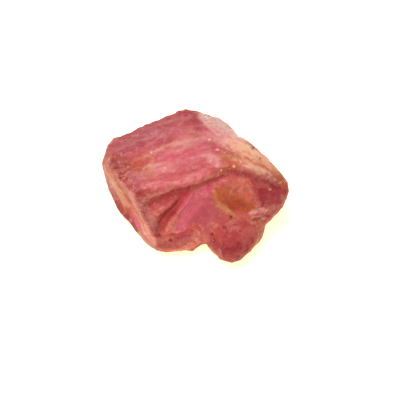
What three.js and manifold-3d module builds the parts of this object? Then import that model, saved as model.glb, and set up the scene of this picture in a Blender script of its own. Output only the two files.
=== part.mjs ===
// A rough rhodolite garnet: one natural lump of crystal with a smaller crystal grown into its
// front, lying on its flattest face. Millimetres, +Z up. The origin is on the face it rests
// on, under the middle of the stone's box; +X is its length and +Y is its back.
import * as THREE from "three";
import { mergeVertices } from "three/addons/utils/BufferGeometryUtils.js";
import Module from "manifold-3d";

// ---- Driving sizes, in mm ----
const LENGTH = 12;
const WORN_EDGE = 0.2; // radius that wear has put on the edges between faces
const GRAIN_HEIGHT = 0.1; // depth of the uneven growth over every face
const GRAIN_SIZE = 1.7;
const BLOCK_DETAIL = 19; // how finely each of the 20 sides of a starting ball is divided
const BUD_DETAIL = 8;
const FINER_SIDE = [0, -0.3, 0.12]; // towards the front, where the marks are narrowest
const CAST_STEP = 0.25;
const RELAX_ROUNDS = 8;

// ---- The view of the front and top that their marks are placed in ----
const VIEW_HEIGHT = THREE.MathUtils.degToRad(50); // above the floor
const VIEW_DISTANCE = 107; // mm, and so are the lens and the sensor
const VIEW_LENS = 150;
const VIEW_SENSOR = 36;
const VIEW_TARGET = [0.26, -2.29, 2.32];
const FRAME = 400; // width and height of the view's frame, in pixels

// ---- The block, by the corners that its faces run through, as [x, y, z] ----
const core = new THREE.Vector3(0, -1.6, 2.9); // a point inside, that the skin is cast from
const backTop = [-0.7, 3.15, 5.5];
const leftShoulder = [-5.7, 0.9, 4.6];
const leftTip = [-6.0, 0.25, 3.95];
const leftLow = [-6.05, -0.25, 3];
const cornerTop = [-4.05, -3.85, 4.95];
const cornerLow = [-2.4, -5.05, 0.6];
const frontTop = [0.25, -3.65, 5.65];
const frontLow = [2.3, -4.4, 2.9];
const ridge = [2.45, -1.85, 5.6];
const ridgeEnd = [5.6, -1.5, 3.65];
const backEdge = [1.95, 2.95, 4.2];
const rightBack = [3.9, 2.35, 3.9];
const rightTop = [5.6, -0.7, 3.35];
const rightTip = [6.15, -1.95, 2.6];
const heel = [5.45, -2.55, 1.7];
const rightLow = [4.7, -3.45, 1.6];

// A flat face through three points. Its normal points away from the point inside.
function face(inside, ...points) {
  const [a, b, c] = points.map((p) => new THREE.Vector3(...p));
  const plane = new THREE.Plane().setFromCoplanarPoints(a, b, c);
  return plane.distanceToPoint(inside) > 0 ? plane.negate() : plane;
}

const BLOCK_FACES = [
  face(core, backTop, leftShoulder, frontTop), // top
  face(core, backTop, backEdge, ridge), // top, behind the ridge
  face(core, ridge, ridgeEnd, rightBack), // upper right slope
  face(core, cornerTop, frontTop, cornerLow), // front
  face(core, cornerTop, cornerLow, leftLow), // left side
  face(core, leftShoulder, leftTip, [-5.85, -0.9, 4.4]), // left end, above
  face(core, leftTip, leftLow, [-5.1, 1.6, 0]), // left end
  face(core, leftShoulder, leftTip, [-5.1, 1.6, 0]), // left end, behind
  face(core, backTop, leftShoulder, [-3.7, 2.4, 0]), // back left
  face(core, backTop, backEdge, [0.6, 3.6, 0]), // back
  face(core, backEdge, rightTop, [4.4, 1.7, 0]), // back right
  face(core, rightTop, rightTip, [5.6, -0.5, 0.8]), // right end
  face(core, rightTip, heel, [4.6, -1.2, 0]), // right end, below
  face(core, heel, rightLow, [3.6, -3.2, 0]), // right underside
  face(core, cornerLow, [-0.4, -5.15, 0.6], [-1, -4.3, 0]), // front underside
  face(core, [-5.7, -0.85, 1.1], [-3.9, -3.9, 0.4], [-4.1, -1.6, 0]), // left underside
];
const STAINED_FACE = face(core, frontTop, ridge, frontLow);
const RECESS_FACE = face(core, ridge, ridgeEnd, rightLow); // beside the stained face, set back

// ---- The bud: the smaller crystal at the front ----
const budCore = new THREE.Vector3(2.7, -4.5, 1.6);
const budTop = [2.35, -5, 3.15];
const budTip = [1.85, -6.9, 0.9];
const budLeft = [0.75, -5.4, 0.9];
const budFoot = [4, -5.5, 1];
const budRight = [4.5, -4, 1.6];

const BUD_FACES = [
  face(budCore, budTop, budTip, budFoot), // front
  face(budCore, budTop, budTip, budLeft), // left
  face(budCore, budTop, budFoot, budRight), // right
  face(budCore, budTop, [0.9, -4.3, 2.6], [4.3, -3.6, 2.5]), // top, under the stained face
  face(budCore, budTip, budFoot, [2.6, -5.2, 0]), // underside
  face(budCore, budTip, budLeft, [1.8, -4.9, 0]), // underside, left
  face(budCore, budFoot, budRight, [4, -4, 0]), // underside, right
  face(budCore, [1, -3.1, 0], [4, -3.1, 0], [1, -3.1, 1]), // back, inside the block
];

// ---- The block before its relief ----
// Smooth joins: the larger or the smaller of two distances, rounded over the width k.
function larger(a, b, k) {
  const h = Math.max(k - Math.abs(a - b), 0) / k;
  return Math.max(a, b) + (h * h * k) / 4;
}
const smaller = (a, b, k) => -larger(-a, -b, k);
const within = (faces, p, k) => faces.reduce((d, f) => larger(d, f.distanceToPoint(p), k), -LENGTH);
function plainBlock(p) {
  const front = smaller(STAINED_FACE.distanceToPoint(p), RECESS_FACE.distanceToPoint(p), 0.4);
  return larger(within(BLOCK_FACES, p, 2 * WORN_EDGE), front, 2 * WORN_EDGE);
}

// ---- Places in the view of the front and top ----
const viewRight = new THREE.Vector3(1, 0, 0);
const viewUp = new THREE.Vector3(0, Math.sin(VIEW_HEIGHT), Math.cos(VIEW_HEIGHT));
const viewBack = new THREE.Vector3().crossVectors(viewRight, viewUp);
const CLOSE = 0.005; // mm

// The point of the plain block that shows at a place in the view's frame. At a place beside
// the block, it is the point where the line of sight passes nearest.
function shown([x, y]) {
  const sight = viewBack.clone().multiplyScalar(-VIEW_LENS / VIEW_SENSOR);
  sight.addScaledVector(viewRight, x / FRAME - 0.5).addScaledVector(viewUp, 0.5 - y / FRAME);
  sight.normalize();
  const p = new THREE.Vector3(...VIEW_TARGET).addScaledVector(viewBack, VIEW_DISTANCE);
  let gap = plainBlock(p);
  for (;;) {
    p.addScaledVector(sight, gap);
    const next = plainBlock(p);
    if (next < CLOSE || next > gap) return p.toArray();
    gap = next;
  }
}
const route = (...places) => places.map(shown);

// Where each mark of the front and top runs: points [x, y], to the right and down, in pixels
const upperStep = route([134, 155], [172, 147], [212, 137]);
const middleStep = route([134, 171], [165, 163], [214, 151]);
const lip = route([135, 187], [175, 181], [222, 172]);
const backTrough = route([137, 141], [180, 131]);
const frontTrough = route([140, 177], [172, 173], [206, 167]);
const channelLeft = route([144, 206], [160, 200], [186, 190]);
const channelRight = route([168, 196], [202, 187], [232, 171]);
const leftFlute = route([152, 216], [168, 206], [180, 198]);
const deepGroove = route([157, 231], [169, 213], [187, 193]);
const thinRidge = route([164, 234], [177, 212], [192, 195]);
const scoop = route([184, 232], [193, 214], [206, 195]);
const lowGroove = route([162, 240], [183, 236], [202, 229]);
const footRidge = route([158, 248], [178, 245], [198, 240]);
const leftBorder = route([132, 190], [146, 219], [160, 244]);
const dish = route([226, 194], [246, 206]);
const dishEdge = route([213, 190], [219, 204], [238, 218]);
const rimHollow = route([226, 172], [252, 178], [281, 188]);
const recessStep = route([254, 178], [257, 192], [262, 205]);
const recessBulge = route([278, 191], [272, 207]);
const ledge = route([249, 214], [258, 211], [267, 208]);
const rim = route([223, 167], [250, 170], [283, 185]);
const tipNick = route([103, 160], [109, 158]);
const sideGroove = route([110, 170], [125, 193], [150, 232]);
const sideRidge = route([106, 180], [124, 204], [144, 231]);

// ---- Relief: what growth and breakage left on the faces ----
// A ridge where height is above 0, a groove below it, along a path. It fades out over the
// width, and to nothing at both ends of the path. Paths outside that view are in mm.
const TOP_RELIEF = [
  { height: 0.08, width: 0.5, path: upperStep },
  { height: 0.09, width: 0.5, path: middleStep },
  { height: 0.14, width: 0.5, path: lip },
  { height: -0.12, width: 0.9, path: backTrough },
  { height: -0.08, width: 0.6, path: frontTrough },
];
const FRONT_RELIEF = [
  { height: -0.28, width: 0.6, path: channelLeft },
  { height: -0.35, width: 0.5, path: channelRight },
  { height: 0.12, width: 0.5, path: leftFlute },
  { height: -0.28, width: 0.5, path: deepGroove },
  { height: 0.12, width: 0.35, path: thinRidge },
  { height: -0.3, width: 0.9, path: scoop },
  { height: -0.3, width: 0.45, path: lowGroove },
  { height: 0.18, width: 0.6, path: footRidge },
  { height: 0.15, width: 0.35, path: leftBorder },
  // the gap between the block and the bud
  { height: -0.5, width: 0.9, path: [[0.6, -5.2, 1.6], [0.5, -4.5, -0.9]] },
];
const RIGHT_RELIEF = [
  { height: -0.2, width: 1.1, path: dish },
  { height: 0.18, width: 0.35, path: dishEdge },
  { height: -0.2, width: 0.55, path: rimHollow },
  { height: -0.15, width: 0.5, path: recessStep },
  { height: 0.3, width: 0.9, path: recessBulge },
  { height: 0.2, width: 0.35, path: ledge },
  { height: 0.12, width: 0.45, path: rim },
];
const LEFT_RELIEF = [
  { height: -0.3, width: 0.5, path: tipNick },
  { height: -0.2, width: 0.4, path: sideGroove },
  { height: 0.15, width: 0.4, path: sideRidge },
  // a swelling along the lower edge
  { height: 0.35, width: 1.1, path: [[-5.6, -0.6, 2], [-4.2, -3, 1], [-2.6, -4.9, 0.3]] },
];
const BACK_RELIEF = [
  // a shell-shaped break, a ledge, a step in the rim, and a dip in the top edge
  { height: -0.5, width: 1.5, path: [[1.4, 3.4, 3], [0.2, 3.5, 1.5]] },
  { height: 0.25, width: 0.6, path: [[-4, 2.2, 1.2], [-2, 2.9, 2.4], [-1, 3.2, 3.8]] },
  { height: -0.15, width: 0.8, path: [[2.7, 1.9, 4.6], [3, 2.6, 2.2]] },
  { height: -0.12, width: 1.3, path: [[-5.2, 1.2, 4.7], [-3, 2.2, 5], [-1.2, 3, 5.3]] },
  // back right: two steps
  { height: -0.25, width: 0.6, path: [[3.4, 2.2, 2.6], [5.2, 0.3, 1.6]] },
  { height: 0.2, width: 0.6, path: [[4, 1.6, 3], [5.6, -0.4, 2.4]] },
];
// Each group of marks with the direction that its face looks in.
const RELIEF = [
  [TOP_RELIEF, [-0.15, 0, 1]],
  [FRONT_RELIEF, [-0.2, -0.9, 0.4]],
  [RIGHT_RELIEF, [0.5, -0.7, 0.5]],
  [LEFT_RELIEF, [-0.8, -0.6, 0]],
  [BACK_RELIEF, [0.2, 1, 0.1]],
].flatMap(([marks, [x, y, z]]) => {
  const out = new THREE.Vector3(x, y, z).normalize();
  return marks.map((mark) => ({ ...mark, out }));
});

// The height of one mark at a point. Distance along the direction out counts for little, so
// that a mark keeps its depth on a face that runs a little above or below its path.
const segment = new THREE.Line3();
const offset = new THREE.Vector3();
function relief({ height, width, path, out }, p) {
  let distance = width;
  let along = 0;
  for (let i = 1; i < path.length; i++) {
    segment.start.set(...path[i - 1]);
    segment.end.set(...path[i]);
    const t = segment.closestPointToPointParameter(p, true);
    segment.at(t, offset).sub(p);
    offset.addScaledVector(out, -0.7 * offset.dot(out));
    if (offset.length() < distance) {
      distance = offset.length();
      along = (i - 1 + t) / (path.length - 1);
    }
  }
  const q = distance / width;
  return height * (1 - (2 * along - 1) ** 4) * (1 - q) ** 2 * (1 + 2 * q);
}

// Smooth noise from -1 to 1, the same on every run.
function corner(x, y, z) {
  const h = Math.imul(x, 374761393) + Math.imul(y, 668265263) + Math.imul(z, 1440662683);
  const mixed = Math.imul(h ^ (h >>> 13), 1274126177);
  return ((mixed ^ (mixed >>> 16)) >>> 0) / 2147483648 - 1;
}
function noise(x, y, z) {
  const [i, j, k] = [x, y, z].map(Math.floor);
  const [u, v, w] = [x - i, y - j, z - k].map((t) => t * t * (3 - 2 * t));
  const mix = THREE.MathUtils.lerp;
  const row = (b, c) => mix(corner(i, b, c), corner(i + 1, b, c), u);
  const sheet = (c) => mix(row(j, c), row(j + 1, c), v);
  return mix(sheet(k), sheet(k + 1), w);
}
function grain(p) {
  const [x, y, z] = p.toArray().map((t) => t / GRAIN_SIZE);
  return GRAIN_HEIGHT * (noise(x, y, z) + 0.5 * noise(2 * x, 2 * y, 2 * z));
}

function block(p) {
  const raised = RELIEF.reduce((sum, r) => sum + relief(r, p), 0);
  return larger(plainBlock(p) - raised - grain(p), -p.z, 2 * WORN_EDGE);
}

function bud(p) {
  return larger(within(BUD_FACES, p, 4 * WORN_EDGE) - grain(p), -p.z, 2 * WORN_EDGE);
}

// A closed skin. Each point of a finely divided ball is moved along its ray from the centre to
// the place where the shape's distance turns positive. The ball sits a little off that centre,
// so that its rays are closer together on the side that it is shifted to. Then, in rounds,
// each point goes towards the mean of its neighbours and is cast again, and neighbours on an
// edge count for more, so that the points gather where the surface turns.
function skin(shape, centre, detail, finerSide) {
  const ball = new THREE.IcosahedronGeometry(1, detail).translate(...finerSide);
  ball.deleteAttribute("normal");
  ball.deleteAttribute("uv");
  const mesh = mergeVertices(ball, 1e-4);
  const places = mesh.getAttribute("position");
  const ray = new THREE.Vector3();
  const p = new THREE.Vector3();

  function cast(i) {
    ray.fromBufferAttribute(places, i).normalize();
    const along = (distance) => shape(p.copy(ray).multiplyScalar(distance).add(centre));
    let inside = 0;
    let outside = CAST_STEP;
    while (along(outside) < 0) {
      inside = outside;
      outside += CAST_STEP;
    }
    for (let n = 0; n < 18; n++) {
      const middle = (inside + outside) / 2;
      if (along(middle) < 0) inside = middle;
      else outside = middle;
    }
    places.setXYZ(i, ...ray.multiplyScalar(outside));
  }

  for (let i = 0; i < places.count; i++) cast(i);
  const near = Array.from({ length: places.count }, () => []);
  for (let t = 0; t < mesh.index.count; t++) {
    const next = t % 3 === 2 ? t - 2 : t + 1;
    near[mesh.index.getX(t)].push(mesh.index.getX(next));
  }
  const other = new THREE.Vector3();
  for (let round = 0; round < RELAX_ROUNDS; round++) {
    mesh.computeVertexNormals();
    const normals = mesh.getAttribute("normal");
    const turn = near.map((list, i) => {
      p.fromBufferAttribute(normals, i);
      return list.reduce((sum, j) => sum + 1 - p.dot(other.fromBufferAttribute(normals, j)), 0);
    });
    const means = near.map((list) => {
      const mean = new THREE.Vector3();
      list.forEach((j) => mean.addScaledVector(p.fromBufferAttribute(places, j), 1 + turn[j]));
      return mean;
    });
    means.forEach((mean, i) => places.setXYZ(i, mean.x, mean.y, mean.z));
    for (let i = 0; i < places.count; i++) cast(i);
  }
  mesh.deleteAttribute("normal");
  mesh.translate(centre.x, centre.y, centre.z);
  for (let i = 0; i < places.count; i++) {
    if (places.getZ(i) < 1e-4) places.setZ(i, 0);
  }
  return mesh;
}

// ---- Joining ----
const wasm = await Module();
wasm.setup();

function solid(mesh) {
  return new wasm.Manifold(
    new wasm.Mesh({
      numProp: 3,
      vertProperties: mesh.getAttribute("position").array,
      triVerts: new Uint32Array(mesh.index.array),
    }),
  );
}

function grownTogether(a, b) {
  const { vertProperties, triVerts } = solid(a).add(solid(b)).getMesh();
  return new THREE.BufferGeometry()
    .setAttribute("position", new THREE.BufferAttribute(vertProperties, 3))
    .setIndex(new THREE.BufferAttribute(triVerts, 1));
}

const geometry = grownTogether(
  skin(block, core, BLOCK_DETAIL, FINER_SIDE),
  skin(bud, budCore, BUD_DETAIL, [0, 0, 0]),
);
geometry.computeBoundingBox();
const { min, max } = geometry.boundingBox;
geometry.translate(-(min.x + max.x) / 2, -(min.y + max.y) / 2, 0);
const scale = LENGTH / (max.x - min.x);
geometry.scale(scale, scale, scale);
geometry.computeVertexNormals();

const garnet = new THREE.Mesh(
  geometry,
  new THREE.MeshStandardMaterial({ color: 0xc0566a, roughness: 0.4, metalness: 0 }),
);
garnet.name = "garnet";

const part = new THREE.Group();
part.add(garnet);
export default part;
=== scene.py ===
"""A rough rhodolite garnet on a pale floor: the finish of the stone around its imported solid.

Everything is in metres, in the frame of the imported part: +X along the stone, +Z up, and the
origin on the floor under its middle.
"""
import math

import bmesh
import bpy
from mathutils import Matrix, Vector
from mathutils.bvhtree import BVHTree


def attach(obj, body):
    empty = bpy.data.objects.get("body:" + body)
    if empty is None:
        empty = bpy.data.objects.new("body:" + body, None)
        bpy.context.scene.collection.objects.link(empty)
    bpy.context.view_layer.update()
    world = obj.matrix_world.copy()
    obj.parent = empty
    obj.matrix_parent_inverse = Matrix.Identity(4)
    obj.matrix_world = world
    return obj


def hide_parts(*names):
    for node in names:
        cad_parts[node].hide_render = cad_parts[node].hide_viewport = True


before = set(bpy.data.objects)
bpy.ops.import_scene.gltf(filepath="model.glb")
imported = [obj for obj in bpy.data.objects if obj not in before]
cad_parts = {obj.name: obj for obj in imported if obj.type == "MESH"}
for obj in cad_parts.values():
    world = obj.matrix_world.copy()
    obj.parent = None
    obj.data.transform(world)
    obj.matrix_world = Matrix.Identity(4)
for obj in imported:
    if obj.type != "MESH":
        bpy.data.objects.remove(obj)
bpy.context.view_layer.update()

MM = 0.001
MERGE_DISTANCE = 0.0001 * MM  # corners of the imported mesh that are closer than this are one

# ---- View ----
VIEW_HEIGHT = math.radians(50)  # how far above the floor the view looks down from
VIEW_DISTANCE = 107.4 * MM
VIEW_TARGET = Vector((0.32, -0.965, 2.331)) * MM
LENS = 150  # mm
SENSOR = 36  # mm
CLIP = (1 * MM, 2)  # nearest and farthest distance that the camera shows
FRAME = 400  # pixels across and down
PIXEL = VIEW_DISTANCE * SENSOR / LENS / FRAME  # width of one on the stone
RIGHT = Vector((1, 0, 0))
UP = Vector((0, math.sin(VIEW_HEIGHT), math.cos(VIEW_HEIGHT)))
BACK = RIGHT.cross(UP)
EYE = VIEW_TARGET + BACK * VIEW_DISTANCE

# ---- Floor and light ----
FLOOR_HALF = 0.4  # half its width
FLOOR_COLOUR = (0.9, 0.87, 0.8, 1)
FLOOR_ROUGHNESS = 0.9
FLOOR_GLOW = (1, 0.98, 0.56, 1)  # it shows as cream where the stone shades the floor
SKY_COLOUR = (1, 0.99, 0.97, 1)
SKY_STRENGTH = 0.35
LAMP_PLACE = Vector((-50, 0, 160)) * MM
LAMP_SIZE = 150 * MM
LAMP_POWER = 0.3  # W

# ---- Fine mesh and its relief ----
# A noise is given by its size, detail, roughness and distortion, and a sway of a border by the
# size of its bends, how far they reach, and the detail and roughness of its noise.
VOXEL = 0.07 * MM  # spacing of the fine mesh
SOFTENING = 18  # rounds of smoothing that take the solid's triangles out of the fine mesh
SOFTENING_STEP = 0.5  # share of the way that a point moves to its neighbours' middle in each
RELIEF = {  # what a height of 1 in each pattern stands for
    "Mark Depth": 1 * MM,
    "Groove Depth": 0.08 * MM,
    "Chip Depth": 0.12 * MM,
    "Pit Depth": 0.15 * MM,
}
FOOT = 0.5 * MM  # the relief fades out over this height above the floor

WORN_SIDE = Vector((0, -0.64, 0.77))  # the way that the side with most marks looks
DEPTH_CUT = 0.7  # share of the depth along it that distances to a mark leave out
FAR_SIDE = (0.0, -0.4)  # a skin that looks away from it this much is rougher and cloudier

MARK_SWAY = (0.9 * MM, 0.5 * MM, 2)
STAIN_SWAY = (0.7 * MM, 0.9 * MM, 4, 0.6)
SPOT_SWAY = (0.2 * MM, 0.3 * MM, 1)

# Growth grooves: the way that they run, a second direction in the skin, how many times longer
# than wide they are, and their width
TOP_GRAIN = ((0.96, 0.19, 0.19), (0, 1, 0), 3.5, 0.6 * MM)
LEFT_GRAIN = ((0.56, -0.67, -0.49), (0, 1, 0), 6, 0.45 * MM)
FRONT_GRAIN = ((0.5, 0.3, 0.8), (1, 0, 0), 4, 0.5 * MM)
GRAIN_NOISE = (4, 0.6, 0.4)  # without its size
LEFT = (-0.78, -0.62, 0)  # the way that the left side looks
FACING = (0.45, 0.7)  # how squarely a skin looks a way when its grain starts, and is full

CHIP_SIZE = 0.6 * MM
CHIP_DETAIL = 2
CHIP_MIDDLE = 0.45  # mean height of the chips' pattern
CHIP_FLAT = 0.3  # depth of the chips away from the edges, as a share
CHIP_EDGE = 0.12 * MM  # an edge that stands out by this much has the deepest chips
DENT_NOISE = (0.7 * MM, 3)  # soft dents among the chips
FAR_CHIPS = 0.6  # share by which the chips of the far side are deeper
STRAY_PIT_CELL = 1.3 * MM  # spacing of the places where a small pit may be
STRAY_PIT = (0.03, 0.12)  # its floor and its edge, as shares of that spacing
STRAY_PIT_CHANCE = (0.6, 0.62)  # places whose chance is over this have one
WIDE_SWELL = 60  # rounds of blurring for the form that edges and hollows are measured from
FINE_SWELL = 12  # and for the form that fine creases are measured from

# Share of a stroke's half width over which it is full
PIT_FLOOR = 0.3
GLINT_FLAT = 0.2
SPECKLED_FULL = 0.4
CALM_FULL = 0.5
LEAST_ROUGH = 0.15  # share of the specks that the rest of the skin has

# ---- Colours ----
RASPBERRY = (0.44, 0.055, 0.08)
DEEP_RED = (0.38, 0.02, 0.026)
ROSE = (0.6, 0.12, 0.145)
PALE = (0.72, 0.35, 0.27)
PEACH = (0.64, 0.24, 0.14)
RUST = (0.48, 0.07, 0.008)
OLIVE = (0.47, 0.17, 0.04)
UMBER = (0.38, 0.04, 0.001)
SEPIA = (0.22, 0.02, 0.001)
AMBER = (0.46, 0.07, 0.006)
CRIMSON = (0.45, 0.045, 0.055)
BRIGHT_PINK = (0.64, 0.07, 0.19)
MAGENTA = (0.34, 0.028, 0.075)
MAUVE = (0.48, 0.09, 0.11)
MILKY = (0.9, 0.6, 0.57)
STRAW = (0.78, 0.42, 0.2)
BLUSH = (0.92, 0.46, 0.44)
APRICOT = (0.9, 0.45, 0.27)
CREAM = (0.97, 0.62, 0.4)
BRICK = (0.55, 0.1, 0.07)
SALMON = (0.62, 0.115, 0.09)
# colour of the painted highlights
GLINT = (1, 0.7, 0.6)
WINE = (0.37, 0.018, 0.03)
PIT_DARK = (0.13, 0.014, 0.004)

CLOUD_NOISE = (1.3 * MM, 4, 0.6)
CLOUD_TURN = (0.35, 0.65)  # its values where one colour starts and ends turning to the next
LOW_FRONT_SHADE = (0, -0.6, -0.8)  # the way of the low front, which is darkened to wine and crimson as painted shade
LOW_FRONT_SHADE_TURN = (-3.0, -2.4)  # mm along it from the origin
FAR_CLOUD_NOISE = (5, 0.65, 0.5)  # without its size
FAR_CLOUD_TURN = (0.48, 0.7)
FAR_CLOUDS = (  # clouds of the far side: size, colour, strength
    (2.6 * MM, MAUVE, 0.9),
    (1.9 * MM, BLUSH, 0.45),
    (2.2 * MM, RUST, 0.5),
)

# ---- Finish ----
# Strength of a pattern, and how much of it is gone where the skin is calm
STREAK = (0.17, 0.14)
VEINS = (1, 0.7)
MOTTLE = (0.45, 0.35)
STREAK_TURN = (0.0, 0.15)  # heights in the grooves' pattern where a streak starts, and is full
VEIN_WIDTH = 0.05
VEIN_COLOURS = (  # height in the grooves' pattern, colour, strength
    (0.07, PALE, 0.2),
    (-0.08, DEEP_RED, 0.25),
)
MOTTLE_NOISE = (0.3 * MM, 5, 0.7)
MOTTLE_COLOURS = (  # colour, and the values of the noise where it starts, and is full
    (DEEP_RED, (0.5, 0.3)),
    (PALE, (0.52, 0.7)),
)
SPECK_SIZE = 0.14 * MM
SPECK_SWAY = (0.15 * MM, 0.15 * MM, 2)
SPECK_EDGE = (0.2, 0.5)  # where a speck starts to fade and where it ends, in sizes
SPECK_COLOURS = (  # colour, the chances where such specks start, and are full, and strength
    # pale specks: painted glints
    (CREAM, (0.75, 0.95), 0.6),
    (UMBER, (0.3, 0.1), 0.8),
)
SHADES = (  # pattern (a swell in mm), where its colour starts, and is full, colour, strength
    # painted shade: hollows darken to deep red
    ("swell", 0.0, -0.12, DEEP_RED, 0.4),
    # edges that stand out turn paler: partly wear, partly painted highlight
    ("swell", 0.05, 0.25, PALE, 0.1),
    # painted shade: fine creases darken to deep red
    ("fine swell", 0.0, -0.03, DEEP_RED, 0.2),
    # darker in the pits
    ("pit", 0.1, 0.9, PIT_DARK, 0.9),
)
# how far the painted highlights turn the colour pale
GLINT_STRENGTH = 0.8
GLOSS_NOISE = (0.35 * MM, 2)
GLOSS_TURN = (0.62, 0.7)  # values of the noise where gloss starts, and is full
FROST = 0.5  # roughness of the skin
POLISH = 0.35  # how much smoother its glossy chips are

REFRACTION = 1.76  # rhodolite's index
TRANSMISSION = 0.3
SPECULAR = 0.1
ABSORPTION_COLOUR = (0.9, 0.1, 0.35, 1)
ABSORPTION = 120  # per metre

# ---- Places ----
# Marks, stains and spots are given where they show in the camera's frame: x to the right and y
# down, in pixels, and half the width there in pixels. They were read one by one.

# Marks on the skin: height of a ridge or depth of a groove (below 0) in mm, and its path
MARKS = {
    "channel under the lip": (-0.05, [(146, 205, 5), (161, 200, 9), (186, 190, 8), (223, 177, 3)]),
    "lip": (0.06, [(150, 197, 2), (178, 186, 5), (202, 180, 5), (223, 173, 2)]),
    "left flute": (0.06, [(156, 216, 2), (168, 206, 5), (178, 199, 2)]),
    "deep groove": (-0.05, [(158, 230, 2), (169, 212, 5), (187, 192, 3)]),
    "thin ridge": (0.05, [(165, 233, 2), (181, 207, 4), (191, 196, 2)]),
    "low groove": (-0.02, [(163, 242, 2), (181, 236, 5), (203, 229, 2)]),
    "edge of the stained face": (0.08, [(214, 190, 2), (218, 201, 3), (226, 210, 3), (237, 219, 2)]),
    "hollow under the rim": (-0.08, [(227, 172, 2), (250, 176, 5), (263, 182, 5), (281, 189, 2)]),
    "step in the recess": (-0.08, [(255, 180, 3), (259, 192, 5), (262, 204, 3)]),
    "ledge": (0.05, [(249, 214, 2), (258, 211, 4), (267, 208, 2)]),
    "groove under the ledge": (-0.06, [(251, 219, 2), (259, 218, 3), (267, 216, 2)]),
}

# Pits, darkened inside
PITS = [
    (224, 227, 2.1),
    (212, 234, 2.1),
    (214, 240, 1.6),
    (160, 235, 1.5),
    (120, 178, 1.6),
    (253, 148, 1.6),
    (260, 159, 1.5),
    (231, 219, 1.4),
    (124, 181, 1.2),
    (127, 187, 1.2),
    (113, 172, 1),
]

# Painted highlights: small spots where the colour turns pale and warm, and the skin is glossier
GLINTS = [
    (218, 150, 1.8),
    (210, 162, 1.6),
    (234, 166, 1.8),
    (241, 162, 1.3),
    (221, 170, 1.4),
    (210, 140, 1.3),
    (214, 140, 1.2),
    (121, 154, 1),
    (125, 155, 0.9),
    (131, 163, 1.2),
    (128, 167, 1),
    (151, 153, 1.3),
    (141, 205, 1.1),
    (143, 208, 0.9),
    (133, 197, 0.9),
    (270, 190, 0.9),
    (207, 118, 1.6),
    (262, 210, 1),
    (275, 180, 1.1),
    (280, 183, 1.0),
    (178, 151, 1.0),
    (164, 172, 1.0),
    (148, 192, 0.8),
]

# Paths where the skin is rough with specks, and where it is calm
SPECKLED = [
    [(108, 158, 10), (120, 176, 13), (138, 203, 12), (150, 226, 9)],
    [(228, 150, 10), (262, 170, 12), (280, 180, 7)],
]
CALM = [
    [(222, 232, 10), (238, 246, 17), (230, 256, 10)],
    [(184, 226, 8), (198, 206, 10), (212, 212, 12)],
    [(158, 228, 8), (170, 212, 9), (186, 197, 8)],
    [(246, 228, 10), (254, 236, 8)],
    [(262, 195, 9), (278, 200, 9)],
    [(219, 195, 8), (231, 203, 10), (246, 205, 10)],
]

# Stains, clear places, painted shade and painted highlights: colour, strength, the share of its
# half width over which it is full, and its path. A later one lies over the earlier ones.

# Top: cloudy bands on raspberry with a painted sheen at the upper left, and rust and soil towards
# the left tip
TOP_STAINS_AND_SHEEN = [
    # the stone's mauve tone, with a painted sheen in it
    (MAUVE, 0.9, 0.3, [(113, 150, 9), (150, 131, 13), (176, 117, 9)]),
    (CRIMSON, 0.4, 0, [(157, 126, 4), (170, 123, 6)]),
    (ROSE, 0.8, 0.1, [(143, 152, 4), (165, 148, 6), (196, 140, 7), (214, 134, 4)]),
    (BRIGHT_PINK, 0.45, 0, [(160, 158, 5), (185, 153, 9), (206, 148, 5)]),
    (ROSE, 0.8, 0.1, [(146, 168, 3), (165, 163, 5), (190, 158, 5)]),
    (RASPBERRY, 0.7, 0.1, [(160, 176, 5), (180, 170, 7), (205, 166, 5)]),
    (RUST, 0.7, 0, [(108, 156, 5), (120, 162, 7)]),
    (RUST, 0.6, 0, [(126, 163, 8), (138, 166, 13), (149, 172, 8)]),
    (BRICK, 0.6, 0, [(113, 158, 6), (120, 166, 9), (127, 178, 8)]),
    (SEPIA, 0.3, 0, [(112, 160, 7), (119, 168, 9), (128, 180, 8)]),
    (UMBER, 0.55, 0, [(127, 164, 8), (139, 167, 12), (149, 172, 7)]),
    (RUST, 0.5, 0, [(132, 158, 5), (142, 157, 7), (150, 156, 5)]),
    (PEACH, 0.7, 0, [(146, 157, 3), (152, 160, 4), (150, 166, 3)]),
    (RUST, 0.6, 0, [(146, 173, 5), (152, 172, 4)]),
    (RUST, 0.5, 0, [(205, 176, 4), (222, 170, 6), (236, 167, 4)]),
    (PALE, 0.7, 0, [(143, 169, 2), (152, 166, 3), (165, 161, 2)]),
    (PALE, 0.6, 0, [(152, 152, 3), (165, 147, 4), (182, 143, 4), (204, 137, 3)]),
    (DEEP_RED, 0.8, 0.1, [(112, 160, 3), (116, 167, 5), (122, 172, 3)]),
    (SEPIA, 0.5, 0, [(113, 162, 5), (118, 170, 6)]),
    (DEEP_RED, 0.6, 0, [(120, 176, 6), (129, 185, 8), (140, 194, 8)]),
    (DEEP_RED, 0.4, 0, [(105, 154, 5), (115, 156, 6)]),
    (OLIVE, 0.6, 0.1, [(105, 163, 3), (111, 174, 4)]),
]
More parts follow.
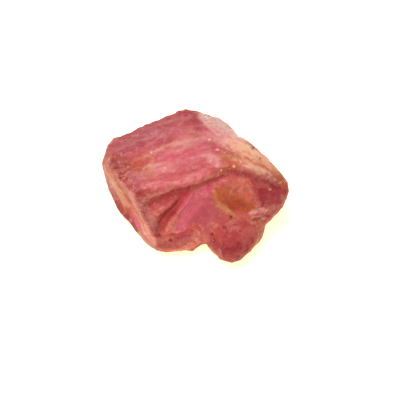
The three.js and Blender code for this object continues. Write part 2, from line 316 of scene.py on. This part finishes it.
# Right of the ridge: a milky painted sheen at the back, cream and apricot down to the rim
SLOPE_STAINS_SHEEN_AND_HIGHLIGHT = [
    (RASPBERRY, 0.6, 0, [(190, 116, 5), (198, 127, 6), (200, 136, 4)]),
    # painted sheen: blush and milky white where light grazes the back of the slope
    (BLUSH, 0.95, 0.3, [(203, 118, 7), (215, 127, 12), (228, 138, 14), (240, 148, 11)]),
    (MILKY, 0.9, 0.1, [(203, 114, 6), (218, 121, 10), (232, 131, 9), (246, 140, 6)]),
    (BRIGHT_PINK, 0.5, 0, [(207, 131, 7), (222, 137, 8)]),
    (BLUSH, 0.35, 0, [(207, 136, 7), (222, 143, 8)]),
    (APRICOT, 0.9, 0.3, [
        (232, 145, 7), (247, 152, 12), (262, 160, 11), (276, 171, 8), (283, 182, 5)]),
    (CREAM, 0.8, 0, [(240, 145, 8), (249, 148, 9), (256, 155, 5)]),
    # along the rim: apricot, peach and cream stains, with a painted highlight on the ridge
    (APRICOT, 0.7, 0.1, [(236, 160, 6), (250, 164, 6), (262, 170, 5)]),
    (PEACH, 0.7, 0, [(238, 164, 7), (250, 167, 7), (262, 172, 6)]),
    (CREAM, 0.5, 0, [(244, 165, 3), (258, 170, 5), (273, 176, 4)]),
    (BLUSH, 0.5, 0, [(208, 155, 7), (218, 162, 7)]),
    (OLIVE, 0.7, 0, [(224, 156, 8), (238, 156, 6)]),
    (RUST, 0.6, 0, [(226, 164, 7), (240, 164, 5)]),
    (OLIVE, 0.6, 0, [(252, 147, 2), (254, 150, 2)]),
    (OLIVE, 0.6, 0, [(258, 157, 3), (262, 162, 3)]),
    (RUST, 0.8, 0, [(246, 158, 3), (256, 164, 5), (267, 169, 4)]),
    (RUST, 0.7, 0, [(222, 171, 6), (234, 167, 6)]),
    (PEACH, 0.9, 0.3, [(273, 173, 6), (281, 180, 8), (284, 186, 5)]),
    (RUST, 0.7, 0, [(271, 171, 5), (279, 179, 7), (284, 186, 5)]),
]
# The lip, the channel under it, the flutes and the foot, with painted highlights on the lip and
# painted shade in the channel and grooves
FRONT_STAINS_SHADE_AND_HIGHLIGHTS = [
    # painted highlight along the lip, in rose
    (ROSE, 0.8, 0.1, [(146, 184, 6), (165, 183, 8), (188, 180, 8), (206, 175, 5)]),
    # the stone's deep red, darkened as painted shade in the channel under the lip, down to the wine
    # below
    (CRIMSON, 1, 0.3, [(148, 205, 8), (160, 201, 9), (172, 196, 9)]),
    (CRIMSON, 1, 0.3, [(172, 196, 9), (190, 190, 8), (210, 184, 6)]),
    (CRIMSON, 0.8, 0, [(205, 182, 6), (218, 178, 6), (227, 172, 5)]),
    (DEEP_RED, 0.7, 0, [(152, 204, 4), (165, 198, 5), (180, 192, 5), (198, 188, 4)]),
    (WINE, 0.6, 0, [(149, 205, 7), (165, 198, 8), (182, 192, 9), (206, 185, 6)]),
    # painted highlight on the ridge above the channel
    (ROSE, 0.6, 0, [(152, 198, 3), (160, 193, 4), (170, 191, 3)]),
    (CRIMSON, 0.8, 0.2, [(150, 212, 6), (165, 206, 7), (177, 199, 5)]),
    # painted shade over the stone's deep red in the deep groove, here and in the sepia and wine
    # below
    (WINE, 1, 0.3, [(157, 228, 6), (166, 217, 8), (174, 206, 8), (186, 194, 6)]),
    (CRIMSON, 1, 0.4, [(163, 236, 7), (170, 222, 7), (179, 208, 6)]),
    (SEPIA, 0.7, 0, [(160, 227, 7), (169, 215, 9), (177, 203, 6)]),
    (WINE, 1, 0.3, [(164, 224, 6), (170, 215, 7), (177, 205, 5)]),
    (MAGENTA, 0.9, 0.2, [(197, 222, 10), (206, 210, 13), (217, 205, 10)]),
    (MAGENTA, 0.7, 0, [(204, 224, 10), (220, 217, 10)]),
    (BRIGHT_PINK, 0.95, 0.15, [(181, 231, 8), (185, 216, 11), (193, 203, 12), (206, 194, 9)]),
    # painted shade in the low groove
    (DEEP_RED, 0.8, 0.1, [(167, 241, 5), (182, 235, 7), (199, 228, 5)]),
    (BLUSH, 0.25, 0, [(143, 200, 5), (149, 216, 6), (155, 230, 5)]),
    (SALMON, 1, 0.2, [(163, 243, 7), (180, 243, 7), (195, 241, 6)]),
    (ROSE, 0.6, 0, [(168, 243, 3), (182, 240, 3), (194, 237, 3)]),
    (SALMON, 1, 0.2, [(162, 249, 5), (178, 250, 5), (192, 247, 5)]),
    (ROSE, 0.5, 0, [(160, 250, 4), (178, 251, 3), (191, 248, 3)]),
]
# Left side and its border, with a painted glow low down
LEFT_STAINS_AND_GLOW = [
    (RUST, 0.6, 0, [(108, 168, 6), (114, 180, 8), (122, 193, 8), (128, 207, 7)]),
    (PEACH, 0.7, 0.2, [(113, 182, 4), (121, 196, 5), (127, 206, 4)]),
    (OLIVE, 0.6, 0, [(119, 181, 4), (126, 193, 4)]),
    (RUST, 0.6, 0.1, [(126, 208, 4), (129, 212, 4)]),
    # painted glow: bright pink where light shines through the lower left
    (BRIGHT_PINK, 0.8, 0.2, [(132, 217, 4), (138, 226, 4)]),
    (BLUSH, 0.3, 0, [(130, 192, 5), (138, 210, 6), (146, 228, 6), (156, 244, 5)]),
    (PALE, 0.4, 0, [(128, 195, 3), (136, 213, 3), (144, 231, 3), (154, 243, 3)]),
    (BLUSH, 0.5, 0.1, [(138, 233, 4), (150, 246, 4), (160, 251, 4)]),
]
# The stained face
STAINED_FACE = [
    (AMBER, 1, 0.4, [(218, 193, 8), (231, 195, 10), (244, 204, 11)]),
    (AMBER, 0.9, 0.2, [(217, 192, 8), (221, 203, 8), (233, 213, 8)]),
    (AMBER, 0.7, 0.1, [(243, 198, 8), (251, 208, 7)]),
    (BRICK, 0.9, 0.2, [(226, 181, 7), (246, 183, 8)]),
    (OLIVE, 0.4, 0, [(214, 190, 5), (216, 201, 6)]),
    (UMBER, 1, 0.3, [(223, 198, 9), (238, 205, 12), (250, 206, 8)]),
    (SEPIA, 0.7, 0, [(227, 200, 3), (224, 195, 3)]),
    (SEPIA, 0.8, 0, [(238, 202, 4), (246, 205, 4)]),
    (SEPIA, 0.35, 0, [(229, 203, 8), (245, 206, 8)]),
    (SALMON, 0.6, 0, [(229, 184, 6), (242, 188, 7), (249, 194, 6)]),
    (SEPIA, 0.6, 0, [(227, 204, 2), (231, 207, 3), (236, 211, 3)]),
    (SEPIA, 0.5, 0, [(239, 206, 3), (245, 205, 2)]),
    (SEPIA, 0.4, 0, [(228, 214, 2), (234, 217, 3)]),
    (SEPIA, 0.6, 0, [(232, 209, 4), (226, 208, 3)]),
    (SEPIA, 0.4, 0, [(237, 190, 3)]),
    (SEPIA, 0.5, 0, [(216, 190, 3)]),
    (BRICK, 0.7, 0.2, [(242, 190, 6), (249, 197, 6)]),
    (STRAW, 0.4, 0, [(218, 203, 3), (227, 210, 4), (236, 218, 3)]),
]
# The hollow under the rim, darkened by painted shade, the bulge beside it, and painted highlights on
# the ledge
RECESS_STAINS_SHADE_AND_HIGHLIGHTS = [
    # painted shade under the rim and down the hollow, over the stone's red
    (CRIMSON, 0.9, 0.2, [(234, 172, 5), (252, 177, 6)]),
    (DEEP_RED, 0.9, 0.2, [(254, 182, 7), (270, 186, 6)]),
    (WINE, 1, 0.3, [(260, 192, 7), (263, 202, 7)]),
    (CRIMSON, 1, 0.4, [(276, 189, 8), (281, 199, 8), (275, 210, 7)]),
    (WINE, 0.6, 0, [(274, 194, 9), (280, 202, 8)]),
    (BRICK, 0.8, 0, [(266, 205, 4), (270, 215, 5), (266, 221, 3)]),
    # painted highlights on the ledge
    (BLUSH, 0.7, 0, [(250, 213, 3), (256, 211, 3)]),
    (BLUSH, 0.8, 0, [(260, 209, 3), (265, 210, 3)]),
    (BLUSH, 0.7, 0, [(256, 218, 3), (262, 218, 3)]),
    (BRICK, 0.8, 0, [(236, 216, 7), (255, 222, 7)]),
    (RUST, 0.9, 0, [(258, 224, 5)]),
]
# The small front crystal, with painted shade in the crease along its top
BUD_STAINS_AND_SHADE = [
    (WINE, 1, 0.7, [(224, 235, 12), (234, 247, 18), (226, 256, 10)]),
    (CRIMSON, 0.8, 0, [(213, 246, 4), (221, 258, 4), (240, 255, 4)]),
    (SALMON, 0.45, 0, [(220, 254, 5), (230, 256, 5), (240, 253, 5)]),
    (RUST, 0.7, 0, [(262, 226, 4), (259, 238, 4), (250, 250, 4)]),
    (BRICK, 0.6, 0, [(250, 228, 6), (256, 238, 5)]),
    # painted shade in the crease between the small crystal and the stone
    (DEEP_RED, 0.7, 0, [(213, 240, 5), (220, 232, 4), (230, 226, 4), (246, 226, 5)]),
]
STAINS_AND_PAINTED_LIGHT = [
    *TOP_STAINS_AND_SHEEN,
    *SLOPE_STAINS_SHEEN_AND_HIGHLIGHT,
    *FRONT_STAINS_SHADE_AND_HIGHLIGHTS,
    *LEFT_STAINS_AND_GLOW,
    *STAINED_FACE,
    *RECESS_STAINS_SHADE_AND_HIGHLIGHTS,
    *BUD_STAINS_AND_SHADE,
]


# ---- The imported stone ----
def merged_mesh(node):
    """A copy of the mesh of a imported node, with its coincident corners merged."""
    shape = bmesh.new()
    shape.from_mesh(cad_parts[node].data)
    bmesh.ops.remove_doubles(shape, verts=shape.verts, dist=MERGE_DISTANCE)
    mesh = bpy.data.meshes.new(node + " copy")
    shape.to_mesh(mesh)
    shape.free()
    return mesh


packed = merged_mesh("garnet")
solid = BVHTree.FromPolygons(
    [corner.co for corner in packed.vertices], [face.vertices for face in packed.polygons])


def shown(x, y):
    """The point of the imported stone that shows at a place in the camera's frame."""
    sight = RIGHT * (x / FRAME - 0.5) + UP * (0.5 - y / FRAME) - BACK * (LENS / SENSOR)
    sight.normalize()
    point = solid.ray_cast(EYE, sight)[0]
    if point is None:  # just beside the stone
        point = solid.find_nearest(EYE + sight * VIEW_DISTANCE)[0]
    return point


def shortened(point):
    """A point with its depth along the worn side's direction shortened, as in Tree.flat."""
    return point - WORN_SIDE * (DEPTH_CUT * point.dot(WORN_SIDE))


# ---- Node trees ----
class Tree:
    """A node tree, shader or geometry, that is built by calls and by Python expressions."""

    def __init__(self, tree):
        self.tree = tree

    def node(self, kind, settings=None, sockets=None):
        """Adds a node: its settings first, then the values or links of its sockets."""
        made = self.tree.nodes.new(kind)
        for name, value in (settings or {}).items():
            setattr(made, name, value)
        for name, value in (sockets or {}).items():
            self.feed(pick(made.inputs, name), value)
        return made

    def feed(self, socket, value):
        """Gives a socket a value, or a link from another node."""
        if isinstance(value, Value):
            self.tree.links.new(value.socket, socket)
        elif isinstance(value, bpy.types.NodeSocket):
            self.tree.links.new(value, socket)
        else:
            socket.default_value = value

    def value(self, kind, settings=None, sockets=None, out=0):
        """Adds a node and gives one of its outputs, ready for an expression."""
        return Value(self, pick(self.node(kind, settings, sockets).outputs, out))

    def group(self, name, values):
        """Adds a node group by its name, with values for its named inputs."""
        made = self.tree.nodes.new("GeometryNodeGroup")
        made.node_tree = bpy.data.node_groups[name]
        for socket in made.inputs:
            self.feed(socket, values[socket.name])
        return Value(self, made.outputs[0])

    def smooth(self, x, low, high):
        """0 at low and 1 at high, with an even turn between them."""
        sockets = {"Value": x, "From Min": low, "From Max": high}
        return self.value("ShaderNodeMapRange", {"interpolation_type": "SMOOTHSTEP"}, sockets)

    def mix(self, a, b, amount):
        """Colour a, turning to colour b as amount goes from 0 to 1."""
        a, b = ((*colour, 1) if isinstance(colour, tuple) else colour for colour in (a, b))
        sockets = {"A_Color": a, "B_Color": b, "Factor_Float": amount}
        return self.value("ShaderNodeMix", {"data_type": "RGBA"}, sockets, "Result_Color")

    def vector(self, operation, a, b=None, out="Vector", scale=None):
        """A Vector Math node."""
        sockets = {"Vector": a}
        if b is not None:
            sockets["Vector_001"] = b
        if scale is not None:
            sockets["Scale"] = scale
        return self.value("ShaderNodeVectorMath", {"operation": operation}, sockets, out)

    def dot(self, a, b):
        """The dot product of two vectors."""
        return self.vector("DOT_PRODUCT", a, b, "Value")

    def noise(self, place, size, detail=2.0, roughness=0.5, distortion=0.0):
        """Smooth noise about 0.5, with lumps of the given size in metres."""
        sockets = {
            "Vector": place,
            "Scale": 1 / size,
            "Detail": detail,
            "Roughness": roughness,
            "Distortion": distortion,
        }
        return self.value("ShaderNodeTexNoise", None, sockets, "Fac")

    def swayed(self, place, size, reach, detail, roughness=0.5, middle=0.5):
        """A place moved by the reach, times the distance from the middle of noise of a size."""
        sockets = {"Vector": place, "Scale": 1 / size, "Detail": detail, "Roughness": roughness}
        sway = self.value("ShaderNodeTexNoise", None, sockets, "Color")
        sway = self.vector("SUBTRACT", sway, (middle, middle, middle))
        return self.vector("ADD", place, self.vector("SCALE", sway, scale=reach))

    def cells(self, place, size, detail=0.0):
        """A node of scattered cells, a size apart."""
        sockets = {"Vector": place, "Scale": 1 / size, "Detail": detail, "Randomness": 1.0}
        return self.node("ShaderNodeTexVoronoi", {"feature": "F1"}, sockets)

    def reach_of(self, cell):
        """Distance from the middle of a cell, in sizes of the cells."""
        return Value(self, cell.outputs["Distance"])

    def chance_of(self, cell):
        """A number from 0 to 1 that each cell has for itself."""
        return self.dot(cell.outputs["Color"], (1, 0, 0))

    def turned(self, place, along, across, stretch):
        """Coordinates squeezed by stretch along one direction, so that a pattern runs that way."""
        x = Vector(along).normalized()
        z = x.cross(Vector(across)).normalized()
        y = z.cross(x)
        rows = [self.dot(place, tuple(axis)) for axis in (x, y, z)]
        sockets = {"X": rows[0] * (1 / stretch), "Y": rows[1], "Z": rows[2]}
        return self.value("ShaderNodeCombineXYZ", None, sockets)

    def flat(self, place):
        """A place with its depth along the worn side's direction shortened."""
        depth = self.dot(place, tuple(WORN_SIDE)) * -DEPTH_CUT
        return self.vector("ADD", place, self.vector("SCALE", tuple(WORN_SIDE), scale=depth))

    def stroke(self, place, points, full=0.0):
        """1 on a path of points (x, y, half width in pixels), fading to 0 at the half width."""
        best = None
        for start, end in zip(points, points[1:] or points):
            base = shortened(shown(*start[:2]))
            sockets = {
                "Place": place,
                "Base": base,
                "Run": shortened(shown(*end[:2])) - base,
                "Width": start[2] * PIXEL,
                "Widening": (end[2] - start[2]) * PIXEL,
            }
            distance = self.group("span", sockets)
            best = distance if best is None else best.least(distance)
        return 1 - self.smooth(best, full, 1.0)

    def strokes(self, place, paths, full, least=0.0):
        """The strongest of several strokes at each point, and nowhere less than the least."""
        for path in paths:
            least = self.stroke(place, path, full).most(least)
        return least


def pick(sockets, name):
    """A socket by its identifier, name or number."""
    if isinstance(name, str):
        for socket in sockets:
            if socket.identifier == name:
                return socket
    return sockets[name]


class Value:
    """One output of a node. Each operator on it adds a Math node."""

    def __init__(self, tree, socket):
        self.tree = tree
        self.socket = socket

    def math(self, operation, *operands):
        sockets = dict(enumerate(operands))
        return self.tree.value("ShaderNodeMath", {"operation": operation}, sockets)

    def __add__(self, other):
        return self.math("ADD", self, other)

    def __sub__(self, other):
        return self.math("SUBTRACT", self, other)

    def __rsub__(self, other):
        return self.math("SUBTRACT", other, self)

    def __mul__(self, other):
        return self.math("MULTIPLY", self, other)

    def __truediv__(self, other):
        return self.math("DIVIDE", self, other)

    def __abs__(self):
        return self.math("ABSOLUTE", self)

    __radd__ = __add__
    __rmul__ = __mul__

    def least(self, other):
        return self.math("MINIMUM", self, other)

    def most(self, other):
        return self.math("MAXIMUM", self, other)

    def clamped(self):
        return self.least(1.0).most(0.0)


def make_group(name, inputs, output):
    """A new geometry node group: its tree, and its named inputs ready for expressions."""
    group = bpy.data.node_groups.new(name, "GeometryNodeTree")
    for title, kind in inputs.items():
        group.interface.new_socket(title, in_out="INPUT", socket_type="NodeSocket" + kind)
    title, kind = output
    group.interface.new_socket(title, in_out="OUTPUT", socket_type="NodeSocket" + kind)
    tree = Tree(group)
    given = tree.node("NodeGroupInput").outputs
    return tree, {socket.name: Value(tree, socket) for socket in given if socket.name}


def make_span():
    """Node group for the distance of a place from one span of a path, in half widths."""
    inputs = {
        "Place": "Vector",
        "Base": "Vector",
        "Run": "Vector",
        "Width": "Float",
        "Widening": "Float",
    }
    tree, given = make_group("span", inputs, ("Distance", "Float"))
    offset = tree.vector("SUBTRACT", given["Place"], given["Base"])
    run = given["Run"]
    share = (tree.dot(offset, run) / tree.dot(run, run)).clamped()
    offset = tree.vector("SUBTRACT", offset, tree.vector("SCALE", run, scale=share))
    width = given["Width"] + given["Widening"] * share
    distance = tree.vector("LENGTH", offset, out="Value") / width
    tree.node("NodeGroupOutput", None, {0: distance})


def set_inputs(node, values):
    """Sets the plain values of some of a node's inputs, by their names."""
    for name, value in values.items():
        node.inputs[name].default_value = value


# ---- Camera, floor and light ----
def add_object(name, data):
    """A new object in the scene, with its data."""
    made = bpy.data.objects.new(name, data)
    bpy.context.scene.collection.objects.link(made)
    return made


def make_camera():
    camera = bpy.data.cameras.new("camera")
    camera.lens = LENS
    camera.sensor_width = SENSOR
    camera.clip_start, camera.clip_end = CLIP
    made = add_object("camera", camera)
    made.location = EYE
    made.rotation_euler = (math.pi / 2 - VIEW_HEIGHT, 0, 0)
    bpy.context.scene.camera = made


def make_floor():
    mesh = bpy.data.meshes.new("floor")
    half = FLOOR_HALF
    corners = [(-half, -half, 0), (half, -half, 0), (half, half, 0), (-half, half, 0)]
    mesh.from_pydata(corners, [], [(0, 1, 2, 3)])
    material = bpy.data.materials.new("floor")
    material.use_nodes = True
    set_inputs(material.node_tree.nodes["Principled BSDF"], {
        "Base Color": FLOOR_COLOUR,
        "Roughness": FLOOR_ROUGHNESS,
        "Emission Color": FLOOR_GLOW,
        "Emission Strength": 1,
    })
    mesh.materials.append(material)
    add_object("floor", mesh)


def make_light():
    """Soft light from all round, and one large soft lamp above the left of the stone."""
    world = bpy.data.worlds.new("studio")
    bpy.context.scene.world = world
    world.use_nodes = True
    sky = {"Color": SKY_COLOUR, "Strength": SKY_STRENGTH}
    set_inputs(world.node_tree.nodes["Background"], sky)
    lamp = bpy.data.lights.new("softbox", "AREA")
    lamp.size = LAMP_SIZE
    lamp.energy = LAMP_POWER
    made = add_object("softbox", lamp)
    made.location = LAMP_PLACE
    made.rotation_euler = (VIEW_TARGET - LAMP_PLACE).to_track_quat("-Z", "Y").to_euler()


# ---- Patterns of the skin ----
def swell_of(tree, place, normal, rounds):
    """How far each point stands out of its surroundings: below 0 in hollows."""
    blur = {"Value": place, "Iterations": rounds}
    around = tree.value("GeometryNodeBlurAttribute", {"data_type": "FLOAT_VECTOR"}, blur)
    return tree.dot(tree.vector("SUBTRACT", place, around), normal)


def marks(tree, flat):
    """Height of the marks, in mm."""
    height = 0.0
    for peak, path in MARKS.values():
        height = tree.stroke(flat, path) * peak + height
    return height


def growth_grooves(tree, place, normal):
    """Grooves that run lengthwise over the top, down the left side and fan over the front."""
    top, left, front = (
        tree.noise(tree.turned(place, along, across, stretch), width, *GRAIN_NOISE) - 0.5
        for along, across, stretch, width in (TOP_GRAIN, LEFT_GRAIN, FRONT_GRAIN)
    )
    upward = tree.value("ShaderNodeSeparateXYZ", None, {"Vector": normal}, "Z")
    groove = front + tree.smooth(tree.dot(normal, LEFT), *FACING) * (left - front)
    return groove + tree.smooth(upward, *FACING) * (top - groove)


def chips(tree, place, wavered, swell, far):
    """Small breaks and soft dents, deeper along the edges and on the far side."""
    cell = tree.reach_of(tree.cells(wavered, CHIP_SIZE, CHIP_DETAIL))
    edge = tree.smooth(swell, 0.0, CHIP_EDGE)
    dent = tree.noise(place, *DENT_NOISE) - 0.5
    return ((cell - CHIP_MIDDLE) * (CHIP_FLAT + edge) + dent) * (1 + FAR_CHIPS * far)


def pits(tree, place, torn):
    """Depth of the pits, up to 1: the named ones, and a few small ones anywhere."""
    hole = tree.cells(place, STRAY_PIT_CELL)
    stray = 1 - tree.smooth(tree.reach_of(hole), *STRAY_PIT)
    stray = stray * tree.smooth(tree.chance_of(hole), *STRAY_PIT_CHANCE)
    return tree.strokes(torn, [[spot] for spot in PITS], PIT_FLOOR, stray)


def tint_of(tree, place, far):
    """Colour of the skin: cloudy red, painted shade on the low front, and stains, clear places,
    painted shade and painted highlights that have uneven borders.
    """
    cloud = tree.smooth(tree.noise(place, *CLOUD_NOISE), *CLOUD_TURN)
    colour = tree.mix(RASPBERRY, ROSE, cloud)
    # painted shade: the low front darkens to wine and crimson
    low = tree.smooth(tree.dot(place, LOW_FRONT_SHADE) / MM, *LOW_FRONT_SHADE_TURN)
    colour = tree.mix(colour, tree.mix(WINE, CRIMSON, cloud), low)
    for size, shade, strength in FAR_CLOUDS:
        patch = tree.smooth(tree.noise(place, size, *FAR_CLOUD_NOISE), *FAR_CLOUD_TURN)
        colour = tree.mix(colour, shade, patch * far * strength)
    flat = tree.flat(tree.swayed(place, *STAIN_SWAY))
    for stroke_colour, strength, full, path in STAINS_AND_PAINTED_LIGHT:
        colour = tree.mix(colour, stroke_colour, tree.stroke(flat, path, full) * strength)
    return colour


# ---- The stone's skin ----
def stored(tree, geometry, values, kind="FLOAT"):
    """The geometry with each value kept as an attribute of its points."""
    for name, value in values.items():
        sockets = {"Geometry": geometry, "Name": name, "Value": value}
        settings = {"data_type": kind, "domain": "POINT"}
        geometry = tree.node("GeometryNodeStoreNamedAttribute", settings, sockets).outputs[0]
    return geometry


def relief_tree():
    """Geometry nodes that grow the fine relief of the crystal's skin out of a smooth one."""
    inputs = {"Geometry": "Geometry", **dict.fromkeys(RELIEF, "Float"), "Material": "Material"}
    tree, given = make_group("crystal skin", inputs, ("Geometry", "Geometry"))
    place = tree.value("GeometryNodeInputPosition")
    normal = tree.value("GeometryNodeInputNormal")
    wavered = tree.swayed(place, *MARK_SWAY)
    flat = tree.flat(wavered)
    torn = tree.flat(tree.swayed(place, *SPOT_SWAY))
    far = tree.smooth(tree.dot(normal, tuple(WORN_SIDE)), *FAR_SIDE)
    swell = swell_of(tree, place, normal, WIDE_SWELL)
    groove = growth_grooves(tree, place, normal)
    chip = chips(tree, place, wavered, swell, far)
    pit = pits(tree, place, torn)

    height = marks(tree, flat) * given["Mark Depth"] + groove * given["Groove Depth"]
    height = height + chip * given["Chip Depth"] - pit * given["Pit Depth"]
    above = tree.value("ShaderNodeSeparateXYZ", None, {"Vector": place}, "Z")
    height = height * tree.smooth(above, 0.0, FOOT)
    sockets = {"Geometry": given["Geometry"], "Offset": tree.vector("SCALE", normal, scale=height)}
    moved = tree.node("GeometryNodeSetPosition", None, sockets)

    grown = stored(tree, moved.outputs[0], {
        "swell": swell / MM,
        "groove": groove,
        "pit": pit,
        # the painted highlights, also used for gloss
        "glint": tree.strokes(torn, [[spot] for spot in GLINTS], GLINT_FLAT),
        "rough": tree.strokes(flat, SPECKLED, SPECKLED_FULL, LEAST_ROUGH),
        "calm": tree.strokes(flat, CALM, CALM_FULL),
        "fine swell": swell_of(tree, place, normal, FINE_SWELL) / MM,
    })
    grown = stored(tree, grown, {"tint": tint_of(tree, place, far)}, "FLOAT_VECTOR")
    whole = tree.node("GeometryNodeRealizeInstances", None, {0: grown})
    sockets = {"Geometry": whole.outputs[0], "Material": given["Material"]}
    dressed = tree.node("GeometryNodeSetMaterial", None, sockets)
    tree.node("NodeGroupOutput", None, {0: dressed.outputs[0]})
    return tree.tree


def applied(obj, name):
    """A new object with the evaluated mesh of another one, which is removed."""
    depsgraph = bpy.context.evaluated_depsgraph_get()
    mesh = bpy.data.meshes.new_from_object(obj.evaluated_get(depsgraph))
    mesh.name = name
    bpy.data.objects.remove(obj)
    return add_object(name, mesh)


def even_skin():
    """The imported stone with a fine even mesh, and without its facets."""
    rough = add_object("rough skin", packed)
    fine = rough.modifiers.new("fine", "SUBSURF")
    fine.levels = fine.render_levels = 1
    even = rough.modifiers.new("even", "REMESH")
    even.mode = "VOXEL"
    even.voxel_size = VOXEL
    even.use_smooth_shade = True
    soft = rough.modifiers.new("soft", "SMOOTH")
    soft.factor = SOFTENING_STEP
    soft.iterations = SOFTENING
    return applied(rough, "skin")


def make_skin(material):
    """The fine skin of the stone, in place of its faceted solid."""
    skin = even_skin()
    grow = skin.modifiers.new("relief", "NODES")
    grow.node_group = relief_tree()
    values = {**RELIEF, "Material": material}
    for item in grow.node_group.interface.items_tree:
        if item.item_type == "SOCKET" and item.in_out == "INPUT" and item.name in values:
            grow[item.identifier] = values[item.name]
    return applied(skin, "garnet_skin")


# ---- The stone's material ----
def kept_patterns(tree):
    """The patterns that the geometry keeps as attributes."""
    names = ("swell", "groove", "pit", "fine swell", "glint", "rough", "calm")
    return {
        name: tree.value("ShaderNodeAttribute", {"attribute_name": name}, None, "Fac")
        for name in names
    }


def eased(pattern, calm):
    """Strength of a pattern, less where the skin is calm."""
    strength, taken = pattern
    return strength - calm * taken


def streaked(tree, colour, kept):
    """Pale streaks on the ridges between growth grooves, and thin veins along them."""
    streak = tree.smooth(kept["groove"], *STREAK_TURN)
    colour = tree.mix(colour, PALE, streak * eased(STREAK, kept["calm"]))
    for level, shade, strength in VEIN_COLOURS:
        vein = tree.smooth(abs(kept["groove"] - level), VEIN_WIDTH, 0.0)
        colour = tree.mix(colour, shade, vein * eased(VEINS, kept["calm"]) * strength)
    return colour


def mottled(tree, colour, place, kept):
    """Small dark and pale mottling."""
    mottle = tree.noise(place, *MOTTLE_NOISE)
    much = eased(MOTTLE, kept["calm"])
    for shade, turn in MOTTLE_COLOURS:
        colour = tree.mix(colour, shade, tree.smooth(mottle, *turn) * much)
    return colour


def specked(tree, colour, place, kept):
    """Painted glints as pale specks, and dark specks, where the skin is rough."""
    cell = tree.cells(tree.swayed(place, *SPECK_SWAY, middle=0), SPECK_SIZE)
    speck = 1 - tree.smooth(tree.reach_of(cell), *SPECK_EDGE)
    speck = speck * kept["rough"] * (1 - kept["calm"])
    for shade, chances, strength in SPECK_COLOURS:
        chosen = tree.smooth(tree.chance_of(cell), *chances)
        colour = tree.mix(colour, shade, speck * chosen * strength)
    return colour


def shaded(tree, colour, kept):
    """Painted shade in hollows and creases, paler edges that are partly wear and partly painted
    highlight, darker pits, and painted highlights.
    """
    for pattern, start, end, shade, strength in SHADES:
        colour = tree.mix(colour, shade, tree.smooth(kept[pattern], start, end) * strength)
    return tree.mix(colour, GLINT, kept["glint"] * GLINT_STRENGTH)


def make_garnet():
    """See-through raspberry garnet under a frosted skin with rust stains and glossy chips."""
    material = bpy.data.materials.new("garnet")
    material.use_nodes = True
    tree = Tree(material.node_tree)
    place = tree.value("ShaderNodeTexCoord", None, None, "Object")
    kept = kept_patterns(tree)
    colour = tree.value("ShaderNodeAttribute", {"attribute_name": "tint"}, None, "Color")
    colour = streaked(tree, colour, kept)
    colour = mottled(tree, colour, place, kept)
    colour = specked(tree, colour, place, kept)
    colour = shaded(tree, colour, kept)
    gloss = tree.smooth(tree.noise(place, *GLOSS_NOISE), *GLOSS_TURN).most(kept["glint"])

    shader = material.node_tree.nodes["Principled BSDF"]
    tree.feed(shader.inputs["Base Color"], colour)
    tree.feed(shader.inputs["Roughness"], FROST - gloss * POLISH)
    set_inputs(shader, {
        "IOR": REFRACTION,
        "Specular IOR Level": SPECULAR,
        "Transmission Weight": TRANSMISSION,
    })
    inside = tree.node("ShaderNodeVolumeAbsorption")
    set_inputs(inside, {"Color": ABSORPTION_COLOUR, "Density": ABSORPTION})
    end = material.node_tree.nodes["Material Output"]
    tree.feed(end.inputs["Volume"], inside.outputs["Volume"])
    return material


make_camera()
make_floor()
make_light()
make_span()
stone = make_skin(make_garnet())
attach(stone, "root")
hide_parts("garnet")

bpy.context.scene.view_settings.view_transform = "Standard"
